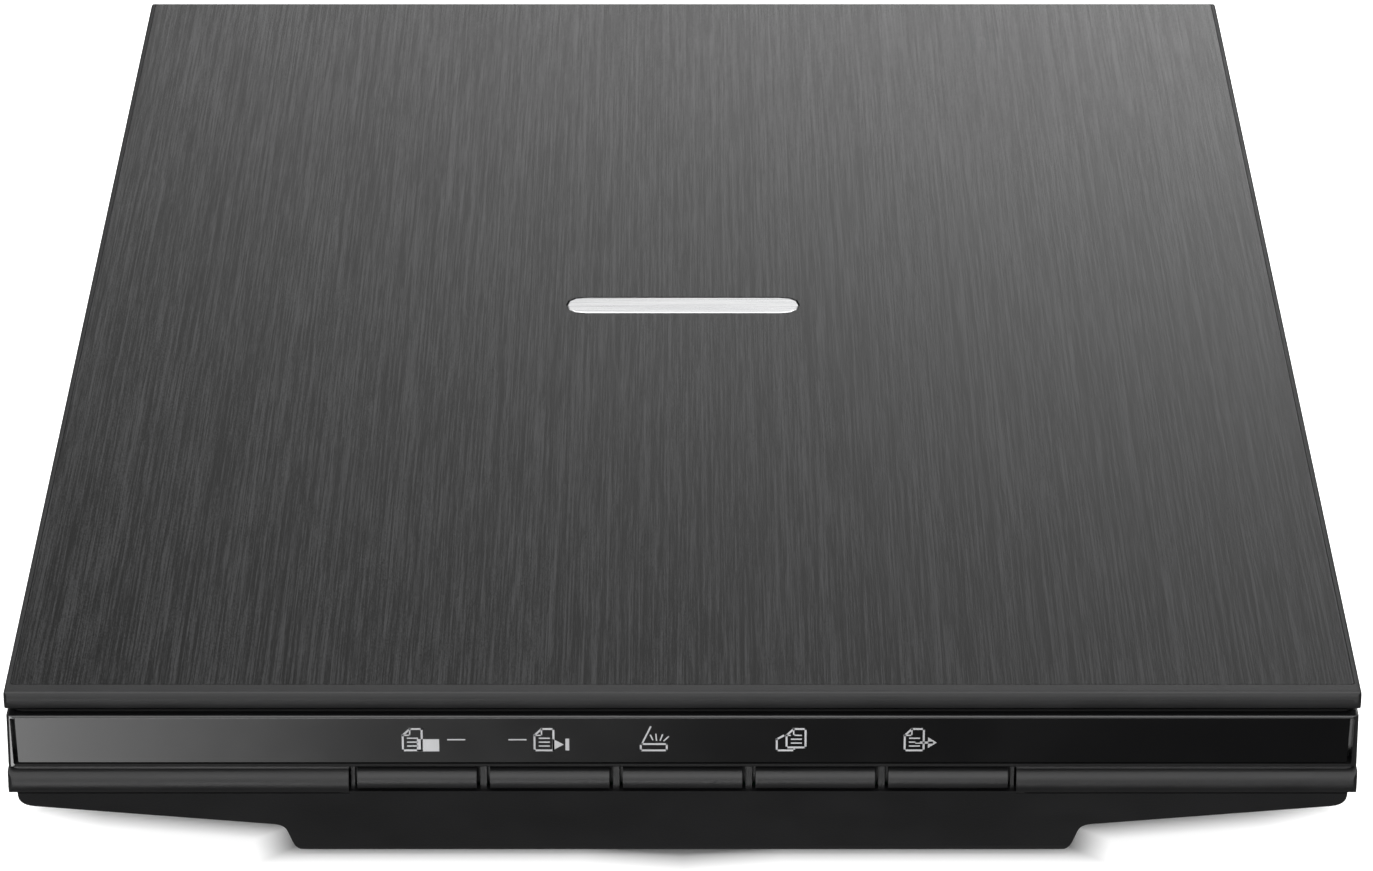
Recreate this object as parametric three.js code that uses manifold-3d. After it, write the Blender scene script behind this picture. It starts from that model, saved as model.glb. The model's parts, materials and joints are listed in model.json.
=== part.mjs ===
// A slim A4 flatbed scanner with a hinged lid, an underslung tub and a contact image sensor
// carriage that drives itself along a rack. Millimetres: X to the right, Y to the back, Z up.
// The origin is under the middle of the scanner, on the surface it stands on.
import * as THREE from 'three';
import { mergeVertices } from 'three/addons/utils/BufferGeometryUtils.js';
import Module from 'manifold-3d';

const wasm = await Module();
wasm.setup();

// Overall size, and the wall that the mouldings share.
const WIDTH = 250;
const DEPTH = 367;
const HEIGHT = 42;
const WALL = 2;
const GAP = 0.3;

// Levels up the front face.
const TUB_BOTTOM = 1.3;
const WING_BOTTOM = 10.3;
const WING_TIP = 16.5;
const BELT_BOTTOM = 20.4;
const BELT_TOP = 26.15;
const SEAM_TOP = 26.35;
const HOUSING_BOTTOM = 26.55;
const HOUSING_TOP = 37.1;
const LID_BOTTOM = 37.4;
const LIP_BOTTOM = 38;

// Plan sizes.
const FRONT = -DEPTH / 2;
const BACK = DEPTH / 2;
const SIDE = 123.3;
const TUB_HALF = 72.3;
const WING_HALF = 74.4;
const HOUSING_FRONT = -183.1;
const HOUSING_BACK = 182.8;
const INNER_FRONT = -180;
const INNER_BACK = 180.6;
const LID_BACK = 182.6;
const LID_ROUNDING = 1.4;
const LIP_ROUNDING = 1.4;
const NOSE_ROUNDING = 2.5;
const NOSE_WALL = 3;
const LID_RIM = 1.2;
const HOUSING_HALF = 124.65;
const HOUSING_WALL = 2.5;
const PANEL_HALF = 122.7;
const PANEL_FLARE = 0.35;
const PANEL_BOTTOM = 27.3;
const PANEL_TOP = 36.35;

// The sheet-size window and the glass under it.
const WINDOW_HALF = 108.25;
const WINDOW_FRONT = -158.5;
const WINDOW_BACK = 139;
const GLASS_HALF = 114.5;
const GLASS_FRONT = -165.5;
const GLASS_BACK = 146;
const GLASS_BOTTOM = 32.7;
const GLASS_TOP = 35.4;
const FLANGE_BOTTOM = 35.9;

// The five buttons and the slots they sit in.
const BUTTONS = [1, 2, 3, 4, 5];
const BUTTON_PITCH = 24.55;
const BUTTON_WIDTH = 22.1;
const BUTTON_SLOT_HALF = 61.75;
const LEDGE_TOP = 21.3;

// The lid's hinge.
const HINGE_X = 92;
const HINGE_Y = 179;
const HINGE_Z = 38.6;
const POST_WIDTH = 14;

// The sensor carriage at its home position, its shaft and its rack drive.
const HOME_Y = -163.5;
const SHAFT_X = 6;
const SHAFT_Z = 12;
const SHAFT_RADIUS = 3;
const FLOOR = TUB_BOTTOM + WALL;
const PLATE_BOTTOM = 17.3;
const PLATE_TOP = 19;
const GEAR_Y = HOME_Y + 12;
const RACK_X = -8;
const RACK_MODULE = 0.8;
const GEAR_MODULE = 0.6;
const RACK_PINION_TEETH = 14;
const RACK_GEAR_TEETH = 36;
const IDLER_PINION_TEETH = 14;
const IDLER_GEAR_TEETH = 40;
const MOTOR_PINION_TEETH = 12;
const BACKLASH = 0.1;
const RACK_GEAR_X = RACK_X - RACK_MODULE * RACK_PINION_TEETH / 2;
const IDLER_X = RACK_GEAR_X - GEAR_MODULE * (RACK_GEAR_TEETH + IDLER_PINION_TEETH) / 2 - BACKLASH;
const MOTOR_X = IDLER_X - GEAR_MODULE * (IDLER_GEAR_TEETH + MOTOR_PINION_TEETH) / 2 - BACKLASH;
const MOTOR_EAR = 14.5;
const SPRING_X = 60;

// Pieces that are placed in pairs or fours.
const SIDES = [['left', -1], ['right', 1]];
const SCREWS = [[-112, 158], [-78, 162], [78, 162], [112, 158]];
const FEET = [[-60, -150], [60, -150], [-60, 158], [60, 158]];
const SCREW_SEAT = 20;

// ---------------------------------------------------------------- solids

// A closed three.js geometry as a solid that can be joined and cut.
function solid(geometry) {
  geometry.deleteAttribute('uv');
  geometry.deleteAttribute('normal');
  const merged = mergeVertices(geometry, 1e-4);
  return new wasm.Manifold(new wasm.Mesh({
    numProp: 3,
    vertProperties: new Float32Array(merged.attributes.position.array),
    triVerts: new Uint32Array(merged.index.array),
  }));
}

// A solid as a three.js geometry again.
function geometryOf(body) {
  const { vertProperties, triVerts } = body.getMesh();
  const geometry = new THREE.BufferGeometry();
  geometry.setAttribute('position', new THREE.BufferAttribute(new Float32Array(vertProperties), 3));
  geometry.setIndex(new THREE.BufferAttribute(new Uint32Array(triVerts), 1));
  geometry.computeVertexNormals();
  return geometry;
}

const joined = (bodies) => bodies.reduce((whole, body) => whole.add(body));

// A closed outline through corners [u, v, radius]; a corner without a radius is sharp.
function outline(corners) {
  const shape = new THREE.Shape();
  corners.forEach(([u, v, radius = 0], i) => {
    const corner = new THREE.Vector2(u, v);
    const [before, after] = [i - 1, i + 1].map((k) => {
      const [x, y] = corners[(k + corners.length) % corners.length];
      return new THREE.Vector2(x, y).sub(corner).setLength(radius).add(corner);
    });
    if (i === 0) shape.moveTo(before.x, before.y);
    else shape.lineTo(before.x, before.y);
    if (radius) shape.quadraticCurveTo(u, v, after.x, after.y);
  });
  shape.closePath();
  return shape;
}

const rectangle = ([u0, u1], [v0, v1], radius = 0) => outline([
  [u0, v0, radius], [u1, v0, radius], [u1, v1, radius], [u0, v1, radius],
]);

// The turn that stands an outline across an axis: (y, z) for x, (x, z) for y, (x, y) for z.
const X = new THREE.Vector3(1, 0, 0);
const Y = new THREE.Vector3(0, 1, 0);
const Z = new THREE.Vector3(0, 0, 1);
const ACROSS = {
  x: new THREE.Matrix4().makeBasis(Y, Z, X),
  y: new THREE.Matrix4().makeBasis(X, Z, Y.clone().negate()),
  z: new THREE.Matrix4(),
};

// An outline pushed along an axis from one place to another.
function prism(shape, axis, [from, to], curveSegments = 3) {
  const options = { depth: to - from, bevelEnabled: false, curveSegments };
  const geometry = new THREE.ExtrudeGeometry(shape, options);
  geometry.translate(0, 0, axis === 'y' ? -to : from);
  return solid(geometry.applyMatrix4(ACROSS[axis]));
}

const block = (x, y, z) => prism(rectangle(x, y), 'z', z);
const slab = (x, y, z, radius) => prism(rectangle(x, y, radius), 'z', z);

// A slab whose edge is rounded in by inset, over rise at its top and bottom.
function pillow(x, y, [bottom, top], radius, inset, rise, bevelSegments) {
  const geometry = new THREE.ExtrudeGeometry(rectangle(x, y, radius), {
    depth: top - bottom - 2 * rise,
    bevelSize: inset,
    bevelOffset: -inset,
    bevelThickness: rise,
    bevelSegments,
    curveSegments: 3,
  });
  return solid(geometry.translate(0, 0, bottom + rise));
}

// An even-sided outline near enough a circle.
function circle([u, v], radius, sides) {
  return outline(Array.from({ length: sides }, (_, i) => {
    const angle = (2 * Math.PI * i) / sides;
    return [u + radius * Math.cos(angle), v + radius * Math.sin(angle)];
  }));
}

// A round rod along an axis, centred on the other two co-ordinates in their order.
const rod = (axis, centre, radius, span, sides = 20) => prism(circle(centre, radius, sides), axis, span, 1);

const pair = (value) => [-value, value];

// ---------------------------------------------------------------- materials

const plastic = (color, roughness) => new THREE.MeshStandardMaterial({ color, roughness, metalness: 0 });
const metal = (color, roughness) => new THREE.MeshStandardMaterial({ color, roughness, metalness: 1 });

const MATERIALS = {
  brushed_lid: new THREE.MeshStandardMaterial({ color: 0x2c2d30, roughness: 0.38, metalness: 0.3 }),
  black_shell: plastic(0x1b1b1d, 0.55),
  gloss_panel: plastic(0x0c0c0e, 0.08),
  button_black: plastic(0x19191b, 0.35),
  lid_white: plastic(0xf1f1ee, 0.6),
  foam: plastic(0xd8d8d4, 0.9),
  badge_silver: metal(0xd4d6d8, 0.3),
  steel: metal(0xb9bcc0, 0.3),
  glass: new THREE.MeshStandardMaterial({
    color: 0xdfe8e6, roughness: 0.03, metalness: 0, transparent: true, opacity: 0.3,
  }),
  white_strip: plastic(0xf7f7f5, 0.7),
  black_part: plastic(0x222325, 0.6),
  gear_white: plastic(0xe9e6dc, 0.5),
  bronze: metal(0xa27b45, 0.45),
  board_green: plastic(0x14522f, 0.5),
  rubber: plastic(0x2b2b2c, 0.9),
  ribbon: plastic(0xe6e4dd, 0.5),
};

const scanner = new THREE.Group();

function place(name, body, material) {
  const mesh = new THREE.Mesh(geometryOf(body), MATERIALS[material]);
  mesh.name = name;
  scanner.add(mesh);
}

// ---------------------------------------------------------------- lid

function hingeNotch(side, play, y, z) {
  const half = POST_WIDTH / 2 + play;
  return block([side * HINGE_X - half, side * HINGE_X + half], y, z);
}

// The outer cover: a shallow tray with a rounded front lip and a narrow rim round its brushed top.
function lidTopCover() {
  const across = prism(outline([
    [-WIDTH / 2, LIP_BOTTOM, LIP_ROUNDING], [WIDTH / 2, LIP_BOTTOM, LIP_ROUNDING],
    [WIDTH / 2, HEIGHT, 1], [-WIDTH / 2, HEIGHT, 1],
  ]), 'y', [FRONT, LID_BACK], 3);
  const along = prism(outline([
    [FRONT, LIP_BOTTOM, NOSE_ROUNDING], [LID_BACK, LIP_BOTTOM, LIP_ROUNDING],
    [LID_BACK, HEIGHT, 1.1], [FRONT, HEIGHT, LID_ROUNDING],
  ]), 'x', pair(WIDTH / 2), 5);
  const plan = slab(pair(WIDTH / 2), [FRONT, LID_BACK], [LIP_BOTTOM - 1, HEIGHT + 1], 1.6);
  const insideLength = [FRONT + NOSE_WALL, LID_BACK - WALL];
  const inside = slab(pair(WIDTH / 2 - WALL), insideLength, [LIP_BOTTOM - 1, 40.3], 1);
  const badgePocket = slab(pair(24.5), pair(4.4), [HEIGHT - 0.8, HEIGHT], 4.3);
  let cover = across.intersect(along).intersect(plan).subtract(inside);
  cover = cover.subtract(skinPlate(0.12, HEIGHT - 0.55)).subtract(badgePocket);
  for (const [, side] of SIDES) {
    const roomForBarrel = hingeNotch(side, 0.8, [176.6, 181.4], [LIP_BOTTOM - 1, 40.8]);
    const roomForArm = hingeNotch(side, 0.8, [176.6, BACK], [LIP_BOTTOM - 1, LIP_BOTTOM + 1]);
    cover = cover.subtract(roomForBarrel).subtract(roomForArm);
  }
  return cover;
}

// The brushed skin is let into the top of the cover; play widens it into the pocket it lies in.
function skinPlate(play, bottom) {
  const x = pair(WIDTH / 2 - LID_RIM + play);
  return slab(x, [FRONT + 3 * LID_RIM - play, LID_BACK - LID_RIM + play], [bottom, HEIGHT + play], 0.8);
}

function lidSkin() {
  return skinPlate(0, HEIGHT - 0.43).subtract(slab(pair(24.45), pair(4.35), [HEIGHT - 1, HEIGHT + 1], 4.25));
}

// The inner frame closes the tray, carries the pad and holds the two hinge pins.
function lidInnerFrame() {
  const flange = slab(pair(123.4), [FRONT + 1.6, LID_BACK - 1.6], [LID_BOTTOM, LIP_BOTTOM - GAP / 2], 2);
  const raised = slab(pair(122.6), [FRONT + NOSE_WALL + 0.4, LID_BACK - WALL - 0.4], [LIP_BOTTOM - 0.5, 40], 1);
  const padPocket = slab(pair(WINDOW_HALF + 0.6), [WINDOW_FRONT - 0.6, WINDOW_BACK + 0.6],
    [LID_BOTTOM - 1, 38.8], 1);
  let frame = flange.add(raised).subtract(padPocket);
  for (const [, side] of SIDES) {
    const pinBore = rod('x', [HINGE_Y, HINGE_Z], 0.95, [side * HINGE_X - 11.4, side * HINGE_X + 11.4], 12);
    frame = frame.subtract(hingeNotch(side, 0.6, [175, 185], [LID_BOTTOM - 1, 41])).subtract(pinBore);
  }
  return frame;
}

function padFoam() {
  return slab(pair(WINDOW_HALF - 0.8), [WINDOW_FRONT + 0.8, WINDOW_BACK - 0.8], [36.2, 38.6], 1);
}

function backingSheet() {
  return slab(pair(WINDOW_HALF - 0.6), [WINDOW_FRONT + 0.6, WINDOW_BACK - 0.6], [35.7, 36.1], 1);
}

function lidBadge() {
  return pillow(pair(24.2), pair(4.1), [HEIGHT - 0.7, HEIGHT - 0.05], 4, 0.2, 0.2, 1);
}

function hingePin(side) {
  return rod('x', [HINGE_Y, HINGE_Z], 0.8, [side * HINGE_X - 11, side * HINGE_X + 11], 12);
}

// A post slides up in its well so that the lid can rise over a thick book.
function hingePost(side) {
  const x = [side * HINGE_X - POST_WIDTH / 2, side * HINGE_X + POST_WIDTH / 2];
  const blade = block(x, [173.4, 176.6], [17, 35]);
  const stopFoot = block([x[0] - 1.5, x[1] + 1.5], [173.4, 176.6], [17, 20.4]);
  const arm = prism(outline([[173.9, 35.2], [174.2, 32.2], [176.1, 33.2], [180.1, 37.6], [177.9, 39.6]]), 'x', x);
  const barrel = rod('x', [HINGE_Y, HINGE_Z], 1.5, x, 16);
  const bore = rod('x', [HINGE_Y, HINGE_Z], 0.95, [x[0] - 1, x[1] + 1], 12);
  return joined([blade, stopFoot, arm, barrel]).subtract(bore);
}

// ---------------------------------------------------------------- lower housing

// The section across the tub and its two wings, taken in by the wall for the inside.
function tubSection(wall, top) {
  return outline([
    [-(TUB_HALF - wall), TUB_BOTTOM + wall, 3.6], [TUB_HALF - wall, TUB_BOTTOM + wall, 3.6],
    [WING_HALF - wall, WING_BOTTOM + wall, 2], [SIDE - wall, WING_TIP + wall, 2.8],
    [SIDE - wall, top], [-(SIDE - wall), top],
    [-(SIDE - wall), WING_TIP + wall, 2.8], [-(WING_HALF - wall), WING_BOTTOM + wall, 2],
  ]);
}

function outerTub() {
  const across = prism(tubSection(0, BELT_BOTTOM + 0.3), 'y', [FRONT, BACK], 6);
  const along = prism(outline([
    [-181.6, BELT_BOTTOM + 0.3], [-169.2, TUB_BOTTOM, 3], [177, TUB_BOTTOM, 2], [181.6, BELT_BOTTOM + 0.3],
  ]), 'x', pair(WIDTH / 2));
  const plan = slab(pair(WIDTH / 2), pair(BACK), [0, BELT_TOP], 6);
  return across.intersect(along).intersect(plan);
}

function innerTub() {
  const across = prism(tubSection(WALL, 40), 'y', [FRONT, BACK]);
  const along = prism(outline([
    [INNER_FRONT, 40], [INNER_FRONT, BELT_BOTTOM], [-167, FLOOR, 2], [175, FLOOR, 1.5],
    [INNER_BACK, BELT_BOTTOM], [INNER_BACK, 40],
  ]), 'x', pair(WIDTH / 2));
  return across.intersect(along);
}

// The lip that the upper housing drops over, left out behind the buttons.
function seamLip() {
  const outer = slab(pair(121.9), [-180.3, 180.5], [24, 28.4], 2);
  const inner = slab(pair(120.7), [-179.2, 179.3], [23, 30], 1);
  const behindButtons = block(pair(BUTTON_SLOT_HALF + 2), [-181, -178], [23, 30]);
  return outer.subtract(inner).subtract(behindButtons);
}

// The divider ribs between the buttons, set back from their faces.
function buttonRibs() {
  const end = BUTTON_SLOT_HALF - 0.75;
  const ribs = [-1.5, -0.5, 0.5, 1.5].map((step) => [step * BUTTON_PITCH, 0.6]);
  return joined([[-end, 0.35], ...ribs, [end, 0.35]].map(([x, half]) => block(
    [x - half, x + half], [-181.5, INNER_FRONT], [LEDGE_TOP - 0.2, BELT_TOP + 0.2],
  )));
}

function screwBoss([x, y]) {
  return rod('z', [x, y], 3.6, [WING_BOTTOM + WALL, 24], 20);
}

function screwHole([x, y]) {
  return rod('z', [x, y], 2.8, [0, SCREW_SEAT], 20).add(rod('z', [x, y], 1.2, [0, 30], 12));
}

// A cradle holds each end of the guide shaft.
function shaftCradle(y) {
  const body = block([SHAFT_X - 6, SHAFT_X + 6], y, [FLOOR - 1, SHAFT_Z]);
  return body.subtract(rod('y', [SHAFT_X, SHAFT_Z], SHAFT_RADIUS + 0.2, [y[0] - 1, y[1] + 1], 16));
}

// Ribs round the well that guides a hinge post.
function postWell(side) {
  const x = side * HINGE_X;
  const front = block([x - 10, x + 10], [171.7, 173], [WING_BOTTOM + 3, 25.4]);
  const guides = [-1, 1].map((end) => {
    const edge = [x + end * 8.8, x + end * 10].sort((a, b) => a - b);
    return block(edge, [172.5, 181], [WING_BOTTOM + 3, 25.4]);
  });
  return joined([front, ...guides]);
}

function boardStandoff([x, y]) {
  return rod('z', [x, y], 2.4, [FLOOR - 1, 5.7], 12);
}

// Slotted guides that hold the two ends of the button board.
function buttonBoardGuide(side) {
  const x = [side * 60.4, side * 63.4].sort((a, b) => a - b);
  const slot = [side * 60, side * 62].sort((a, b) => a - b);
  return block(x, [-181, -173.6], [17, 21.4]).subtract(block(slot, [-176.4, -174.6], [16, 30]));
}

// The section of the belt from front to back, with half-round noses.
function beltSection([bottom, top]) {
  const radius = (top - bottom) / 2;
  const steps = 12;
  const nose = (y, turn) => Array.from({ length: steps + 1 }, (_, i) => {
    const angle = turn + Math.PI * (i / steps - 0.5);
    return [y + radius * Math.cos(angle), bottom + radius + radius * Math.sin(angle)];
  });
  return outline([...nose(BACK - radius, 0), ...nose(FRONT + radius, Math.PI)]);
}

// The belt runs round the joint of the two housings, with tighter corners at its sides.
function belt() {
  const z = [BELT_BOTTOM, BELT_TOP];
  const x = pair(WIDTH / 2 - 0.1);
  const across = prism(rectangle(x, z, 1.2), 'y', pair(BACK), 3);
  const along = prism(beltSection(z), 'x', pair(WIDTH / 2));
  return across.intersect(along).intersect(slab(x, pair(BACK), z, 1.8));
}

// A fine shadow groove between the belt and the tub, left out under the buttons.
function shadowGroove() {
  const z = [BELT_BOTTOM - GAP, BELT_BOTTOM];
  const core = slab(pair(SIDE - 1), [INNER_FRONT - 0.5, INNER_BACK + 0.5], z, 4);
  const underButtons = block(pair(BUTTON_SLOT_HALF), [FRONT, INNER_FRONT], z);
  return block(pair(WIDTH / 2), pair(BACK), z).subtract(core).subtract(underButtons);
}

function lowerHousing() {
  const seam = slab(pair(124.2), [-182.1, 182], [BELT_TOP - 0.5, SEAM_TOP], 1.4);
  const buttonSlot = block(pair(BUTTON_SLOT_HALF), [FRONT - 1, INNER_FRONT + 1], [LEDGE_TOP, BELT_TOP]);
  const tub = outerTub().subtract(shadowGroove());
  const shell = joined([tub, belt(), seam]).subtract(buttonSlot).subtract(innerTub());
  const fittings = joined([
    ...SCREWS.map(screwBoss),
    ...SIDES.map(([, side]) => postWell(side)),
    ...SIDES.map(([, side]) => buttonBoardGuide(side)),
    ...[[20, 157], [20, 172], [63, 153], [63, 171]].map(boardStandoff),
    shaftCradle([-174, -168]),
    shaftCradle([170.2, 176]),
    block([RACK_X + 1.2, RACK_X + 4.6], [-168, 173], [FLOOR - 1, 4.8]),
  ]).intersect(joined([outerTub(), block(pair(SIDE - 1), [-181.5, 181.5], [BELT_BOTTOM, 30])]));
  let housing = shell.add(fittings).add(seamLip()).add(buttonRibs());
  for (const screw of SCREWS) housing = housing.subtract(screwHole(screw));
  for (const foot of FEET) housing = housing.subtract(rod('z', foot, 6.3, [0, TUB_BOTTOM + 1], 24));
  const usbMouth = block([39.4, 52.6], [169, BACK + 1], [6.9, 18.7]);
  const labelRecess = slab(pair(32), [-22, 22], [0, TUB_BOTTOM + 0.4], 2);
  return housing.subtract(usbMouth).subtract(labelRecess);
}

// ---------------------------------------------------------------- upper housing

function upperHousing() {
  const across = prism(outline([
    [-HOUSING_HALF, HOUSING_BOTTOM], [HOUSING_HALF, HOUSING_BOTTOM],
    [HOUSING_HALF, HOUSING_TOP, 0.5], [-HOUSING_HALF, HOUSING_TOP, 0.5],
  ]), 'y', [FRONT, BACK], 2);
  const along = prism(outline([
    [HOUSING_FRONT, HOUSING_BOTTOM, 0.3], [HOUSING_BACK, HOUSING_BOTTOM],
    [HOUSING_BACK, 34.5, 0.6], [176.8, 34.5], [176.8, HOUSING_TOP], [HOUSING_FRONT, HOUSING_TOP, 0.5],
  ]), 'x', pair(WIDTH / 2), 5);
  const plan = slab(pair(HOUSING_HALF), [HOUSING_FRONT, HOUSING_BACK], [20, 40], 1.3);
  const inside = prism(outline([
    [-180.6, 20], [180.8, 20], [180.8, 33], [175.2, 33], [175.2, FLANGE_BOTTOM], [-180.6, FLANGE_BOTTOM],
  ]), 'x', pair(HOUSING_HALF - HOUSING_WALL));
  const panelRecess = panelPlate(0.85, 0.15, [FRONT - 1, -181.7]);
  const deepRecess = panelPlate(0.85, 0.15, [FRONT - 1, -179.5]);
  const endGrooves = deepRecess.subtract(panelPlate(0.1, 1, [FRONT - 2, -179]));
  const opening = pair(WINDOW_HALF);
  const window = slab(opening, [WINDOW_FRONT, WINDOW_BACK], [FLANGE_BOTTOM - 1, HOUSING_TOP + 1], 1.2);
  const chamfer = pillow(pair(WINDOW_HALF + 0.7), [WINDOW_FRONT - 0.7, WINDOW_BACK + 0.7],
    [HOUSING_TOP - 0.7, HOUSING_TOP + 3], 1.6, 0.7, 0.7, 1);
  let housing = across.intersect(along).intersect(plan).subtract(inside);
  housing = housing.subtract(panelRecess).subtract(endGrooves).subtract(window).subtract(chamfer);
  const fittings = joined([glassRails(), ...SCREWS.map(screwTower), ...[-105, -80, 80, 105].map(frontHook)]);
  housing = housing.add(fittings);
  for (const [, side] of SIDES) housing = housing.subtract(hingeNotch(side, 0.3, [172.9, 181.2], [30, 38]));
  for (const [x, y] of SCREWS) housing = housing.subtract(rod('z', [x, y], 1.05, [20, 32], 12));
  return housing.subtract(homeMark());
}

// Rails under the bezel that locate the glass.
function glassRails() {
  const z = [33.2, FLANGE_BOTTOM + 0.2];
  const outer = block(pair(GLASS_HALF + 1.6), [GLASS_FRONT - 1.6, GLASS_BACK + 1.6], z);
  const inner = block(pair(GLASS_HALF + 0.4), [GLASS_FRONT - 0.4, GLASS_BACK + 0.4], [30, FLANGE_BOTTOM + 1]);
  return outer.subtract(inner);
}

function screwTower([x, y]) {
  return rod('z', [x, y], 2.8, [24.3, FLANGE_BOTTOM + 0.2], 20);
}

// A snap hook that holds the front of the two housings together.
function frontHook(x) {
  const arm = block([x - 4, x + 4], [-178.9, -177.8], [22.6, FLANGE_BOTTOM + 0.2]);
  const nose = prism(outline([[-179.7, 23.7], [-178.5, 22.4], [-178.5, 23.7]]), 'x', [x - 4, x + 4]);
  return arm.add(nose);
}

// The engraved arrow at the corner where a sheet is laid.
function homeMark() {
  const corner = [-WINDOW_HALF - 2.4, WINDOW_FRONT - 2.4];
  const arrow = outline([[0, 0], [-5, -1.6], [-1.6, -5]].map(([u, v]) => [corner[0] + u, corner[1] + v]));
  return prism(arrow, 'z', [HOUSING_TOP - 0.3, HOUSING_TOP + 1]);
}

function platenGlass() {
  return block(pair(GLASS_HALF), [GLASS_FRONT, GLASS_BACK], [GLASS_BOTTOM, GLASS_TOP]);
}

// Adhesive tape holds the glass to the bezel on three sides; the white strip takes the fourth.
function glassTape() {
  const z = [GLASS_TOP + 0.1, FLANGE_BOTTOM - 0.1];
  const outer = block(pair(GLASS_HALF - 0.5), [-159.2, GLASS_BACK - 0.5], z);
  const inner = block(pair(WINDOW_HALF + 0.8), [-170, WINDOW_BACK + 0.8], [30, 40]);
  return outer.subtract(inner);
}

function calibrationStrip() {
  const z = [GLASS_TOP + 0.1, FLANGE_BOTTOM - 0.1];
  return block(pair(GLASS_HALF - 1), [GLASS_FRONT + 0.5, -159.6], z);
}

// The shape of the glossy strip, a little wider at its top; play widens it into its recess.
function panelPlate(endPlay, edgePlay, y) {
  const [bottom, top] = [PANEL_BOTTOM - edgePlay, PANEL_TOP + edgePlay];
  const [narrow, wide] = [PANEL_HALF + endPlay, PANEL_HALF + PANEL_FLARE + endPlay];
  const corners = [[-narrow, bottom], [narrow, bottom], [wide, top], [-wide, top]];
  return prism(outline(corners.map((corner) => [...corner, 0.2])), 'y', y, 2);
}

const frontPanel = () => panelPlate(0, 0, [-182.7, -182]);

// ---------------------------------------------------------------- buttons

// A cap follows the belt's rounded front, with a lip behind that stops it falling out.
function button(x) {
  const half = BUTTON_WIDTH / 2;
  const z = [LEDGE_TOP + 0.15, BELT_TOP - 0.15];
  const front = prism(beltSection(z), 'x', [x - half, x + half]);
  const cap = front.intersect(block([x - half, x + half], [FRONT - 1, -179.7], [0, HEIGHT]));
  const lip = block([x - half - 0.9, x + half + 0.9], [-179.8, -179], [LEDGE_TOP + 0.5, SEAM_TOP - 0.2]);
  const stem = block([x - 1.5, x + 1.5], [-179.1, -178.4], [22.5, 24.5]);
  return joined([cap, lip, stem]);
}

function buttonBoard() {
  return block(pair(61.4), [-176.1, -174.9], [18.5, 30]);
}

function tactSwitch(x) {
  const body = block([x - 3, x + 3], [-177.3, -176.3], [20.5, 26.5]);
  return body.add(rod('y', [x, 23.5], 1.5, [-177.5, -177.2], 12));
}

// ---------------------------------------------------------------- base fittings

function foot([x, y]) {
  const profile = [[0, 0], [5.4, 0], [5.9, 0.5], [5.9, 2], [0, 2]].map(([r, z]) => new THREE.Vector2(r, z));
  const lathe = new THREE.LatheGeometry(profile, 24);
  return solid(lathe.rotateX(Math.PI / 2).translate(x, y, 0));
}

function caseScrew([x, y]) {
  const head = rod('z', [x, y], 2.4, [SCREW_SEAT - 2.2, SCREW_SEAT - 0.2], 20);
  const shank = rod('z', [x, y], 0.9, [SCREW_SEAT - 1, 30], 10);
  const drive = [[1.6, 0.3], [0.3, 1.6]].map(([u, v]) => block(
    [x - u, x + u], [y - v, y + v], [SCREW_SEAT - 3, SCREW_SEAT - 1.4],
  ));
  return head.add(shank).subtract(joined(drive));
}

function ratingLabel() {
  return slab(pair(31.6), [-21.6, 21.6], [TUB_BOTTOM + 0.05, TUB_BOTTOM + 0.3], 1.6);
}

function guideShaft() {
  return rod('y', [SHAFT_X, SHAFT_Z], SHAFT_RADIUS, [-170.7, 175], 24);
}

// An omega clip over each end of the shaft.
function shaftClip(y) {
  const arch = rod('y', [SHAFT_X, SHAFT_Z], SHAFT_RADIUS + 1.1, y, 20);
  const flanges = block([SHAFT_X - 6, SHAFT_X + 6], y, [SHAFT_Z + 0.2, SHAFT_Z + 1]);
  const below = block([SHAFT_X - 9, SHAFT_X + 9], [y[0] - 1, y[1] + 1], [0, SHAFT_Z + 0.2]);
  const shaft = rod('y', [SHAFT_X, SHAFT_Z], SHAFT_RADIUS + 0.2, [y[0] - 1, y[1] + 1], 20);
  return arch.add(flanges).subtract(below).subtract(shaft);
}

function mainBoard() {
  const board = block([16, 67], [150, 175.5], [6, 7.4]);
  const chips = [
    [[24, 36], [158, 170], 8.6], [[56, 63], [156, 166], 8.4],
    [[57, 65], [168, 174], 11], [[23, 37], [150.2, 154], 10.2],
  ];
  return joined([board, ...chips.map(([x, y, top]) => block(x, y, [7, top]))]);
}

// The square data inlet: a metal shell with the contact tongue standing in its mouth.
function usbPort() {
  const shell = block([40, 52], [164, 179.2], [7.7, 18.3]);
  const mouth = block([40.6, 51.4], [170, 181], [8.3, 17.7]);
  const tongue = block([43.2, 48.8], [169, 178.2], [11.4, 14.6]);
  return shell.subtract(mouth).add(tongue);
}

// ---------------------------------------------------------------- drive

// A toothed outline round a centre; turn sets where the first tooth points.
function gearOutline([x, y], teeth, module, turn) {
  const radius = (teeth * module) / 2;
  const pitch = (2 * Math.PI) / teeth;
  const flank = [[-0.33, -1.15], [-0.11, 0.9], [0.11, 0.9], [0.33, -1.15]];
  const shape = new THREE.Shape();
  for (let tooth = 0; tooth < teeth; tooth += 1) {
    flank.forEach(([share, reach], corner) => {
      const angle = turn + (tooth + share) * pitch;
      const r = radius + reach * module;
      const point = [x + r * Math.cos(angle), y + r * Math.sin(angle)];
      if (tooth + corner === 0) shape.moveTo(...point);
      else shape.lineTo(...point);
    });
  }
  shape.closePath();
  return shape;
}

// The turn that puts a gap, not a tooth, towards the gear on the left.
const gapToLeft = (teeth) => Math.PI - Math.PI / teeth;

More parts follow.
